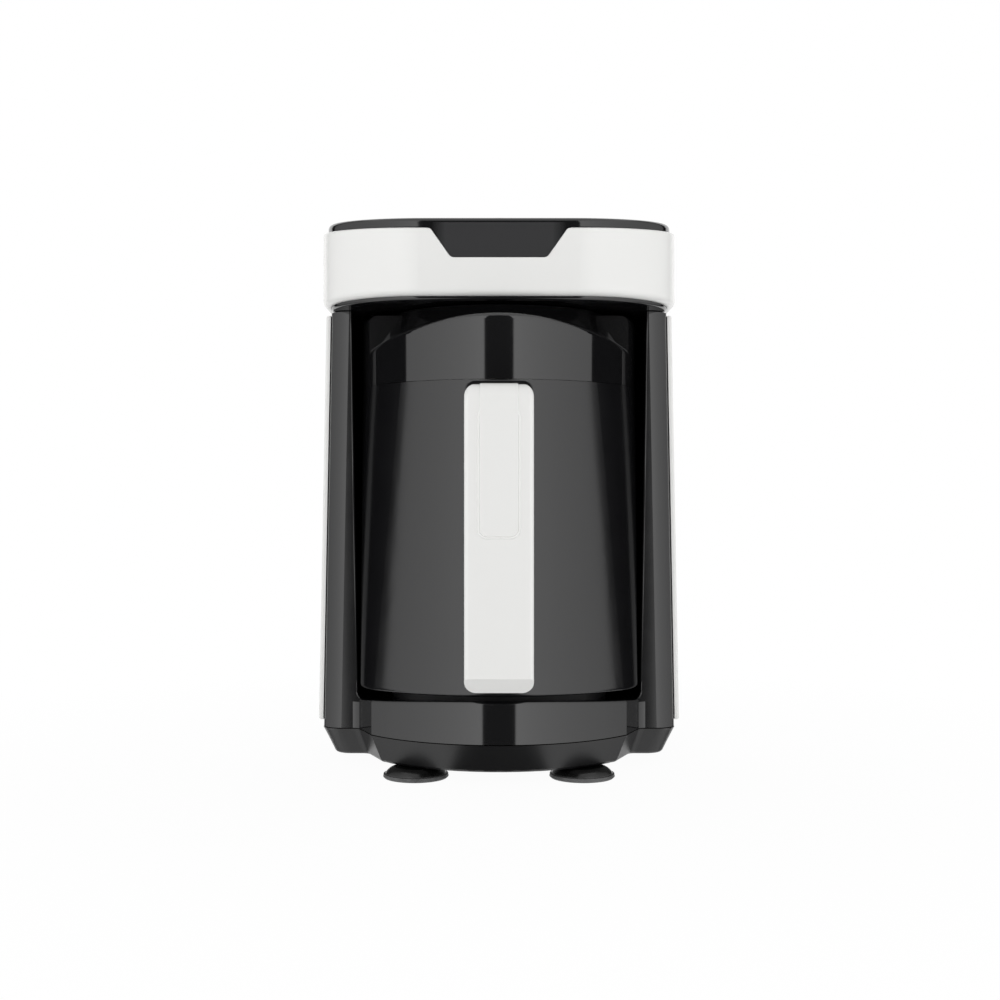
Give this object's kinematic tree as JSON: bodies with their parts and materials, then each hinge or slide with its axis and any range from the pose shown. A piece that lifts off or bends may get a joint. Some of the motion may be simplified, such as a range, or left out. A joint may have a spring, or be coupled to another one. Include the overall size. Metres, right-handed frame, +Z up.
{
  "type": "electric coffee maker",
  "caption": "Countertop electric maker for unfiltered boiled coffee: a handled pot stands on a heating plate in an open bay under an overhanging sloped head.",
  "frame": {"origin": "centre of the footprint's bounding box, on the surface that the feet stand on", "axes": "+Z up, -Y towards the user (handle side), +X to the user's right"},
  "size_m": [0.1586, 0.2, 0.2484],
  "materials": {
    "black_gloss": "polished black ABS",
    "black_satin": "satin black polypropylene",
    "white_gloss": "polished white ABS",
    "brushed_steel": "brushed",
    "screw_steel": "zinc plated",
    "foot_rubber": "moulded black rubber",
    "silicone": "moulded black silicone",
    "smoked_window": "smoked infrared window",
    "light_guide": "milky acrylic",
    "circuit_board": "solder resist",
    "component_black": "moulded epoxy",
    "element_metal": "rolled"
  },
  "bodies": {
    "machine": {"lower_shell": "black_satin", "main_housing": "black_gloss", "cavity_liner": "black_gloss", "rear_cover": "black_satin", "rear_screws": "screw_steel", "side_panel_left": "white_gloss", "side_panel_right": "white_gloss", "head_band": "white_gloss", "top_cover": "black_gloss", "head_underside": "black_gloss", "foam_sensor_lens": "smoked_window", "sensor_board": "circuit_board", "button_light_ring": "light_guide", "control_board": "circuit_board", "tact_switch": "component_black", "buzzer": "component_black", "power_board": "circuit_board", "transformer": "component_black", "heater_relay": "component_black", "heater_plate": "brushed_steel", "heater_seal": "silicone", "heating_element": "element_metal", "thermostat": "element_metal", "thermal_fuse": "element_metal", "heater_carrier": "element_metal", "foot_front_left": "foot_rubber", "foot_front_right": "foot_rubber", "foot_rear_left": "foot_rubber", "foot_rear_right": "foot_rubber", "cord_gland": "silicone", "base_screws": "screw_steel"},
    "start_button": {"start_button": "black_gloss"},
    "pot": {"pot_shell": "black_satin", "pot_collar": "black_gloss", "pot_vessel": "brushed_steel", "pot_base_disc": "brushed_steel", "handle_bracket": "black_satin", "handle_cover": "white_gloss", "handle_inlay": "white_gloss", "handle_screws": "screw_steel"}
  },
  "joints": [
    {"name": "pot_slide", "type": "slide", "parent": "machine", "child": "pot", "axis": [0, -1, 0], "range_m": [0, 0.18]},
    {"name": "start_button_press", "type": "slide", "parent": "machine", "child": "start_button", "axis": [0, 0.1167, -0.9932], "range_m": [0, 0.001], "stiffness_N_per_m": 800}
  ]
}
